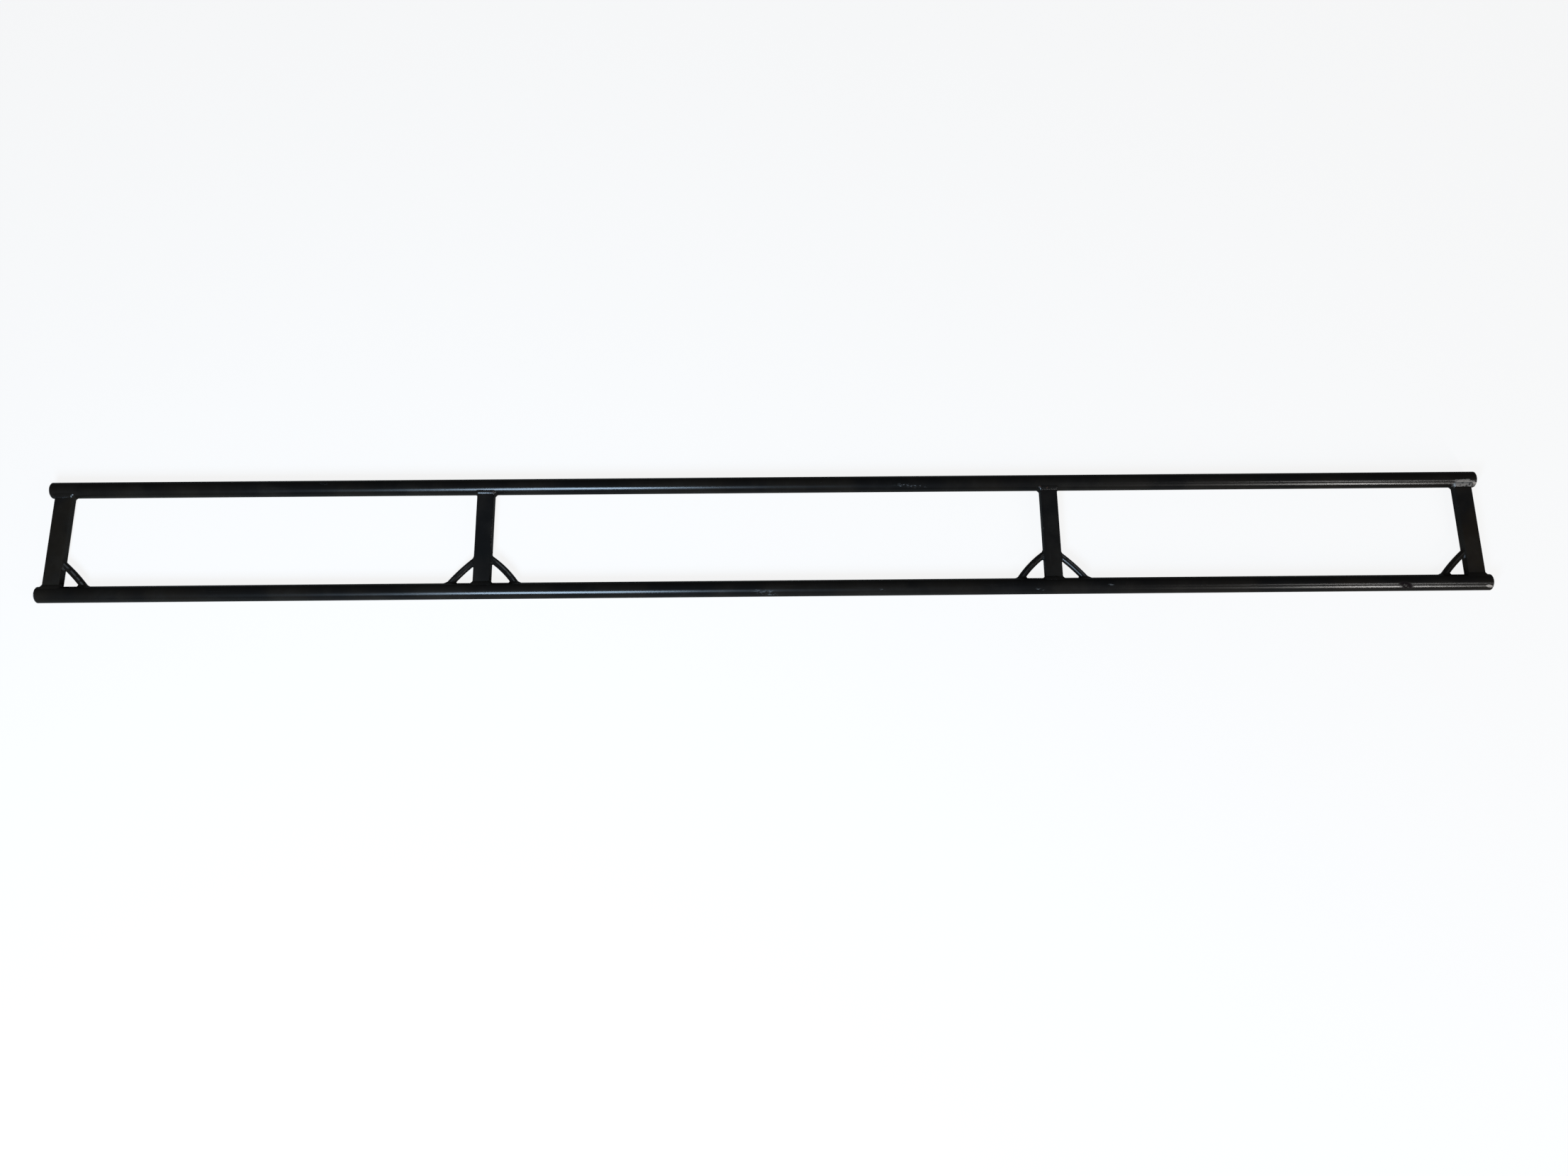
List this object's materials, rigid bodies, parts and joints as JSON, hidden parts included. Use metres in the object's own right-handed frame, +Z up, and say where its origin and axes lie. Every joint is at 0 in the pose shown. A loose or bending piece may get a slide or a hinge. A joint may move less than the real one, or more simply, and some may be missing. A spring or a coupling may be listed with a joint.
{
  "type": "ladder truss section",
  "caption": "Flat welded ladder truss section: parallel round chord tubes joined by coped rectangular spreaders, with bent round bar knee braces along one chord.",
  "frame": {"origin": "centre of the section: halfway along it, halfway between the chord axes and at the height of those axes", "axes": "+X along the chords, +Y from the braced lower chord to the upper chord, +Z up with the section lying flat"},
  "size_m": [3, 0.2598, 0.0336],
  "materials": {
    "chord_paint": "gloss black enamel with light handling scuffs",
    "spreader_paint": "black enamel, a little duller than the chords",
    "brace_paint": "gloss black enamel",
    "painted_weld": "black enamel over a rippled weld bead"
  },
  "bodies": {
    "root": {"left_end_brace": "brace_paint", "left_end_brace_foot_weld": "painted_weld", "left_end_brace_top_weld": "painted_weld", "left_end_spreader": "spreader_paint", "left_end_spreader_lower_weld": "painted_weld", "left_end_spreader_upper_weld": "painted_weld", "left_mid_inner_brace": "brace_paint", "left_mid_inner_brace_foot_weld": "painted_weld", "left_mid_inner_brace_top_weld": "painted_weld", "left_mid_outer_brace": "brace_paint", "left_mid_outer_brace_foot_weld": "painted_weld", "left_mid_outer_brace_top_weld": "painted_weld", "left_mid_spreader": "spreader_paint", "left_mid_spreader_lower_weld": "painted_weld", "left_mid_spreader_upper_weld": "painted_weld", "lower_chord_tube": "chord_paint", "right_end_brace": "brace_paint", "right_end_brace_foot_weld": "painted_weld", "right_end_brace_top_weld": "painted_weld", "right_end_spreader": "spreader_paint", "right_end_spreader_lower_weld": "painted_weld", "right_end_spreader_upper_weld": "painted_weld", "right_mid_inner_brace": "brace_paint", "right_mid_inner_brace_foot_weld": "painted_weld", "right_mid_inner_brace_top_weld": "painted_weld", "right_mid_outer_brace": "brace_paint", "right_mid_outer_brace_foot_weld": "painted_weld", "right_mid_outer_brace_top_weld": "painted_weld", "right_mid_spreader": "spreader_paint", "right_mid_spreader_lower_weld": "painted_weld", "right_mid_spreader_upper_weld": "painted_weld", "upper_chord_tube": "chord_paint"}
  },
  "joints": []
}
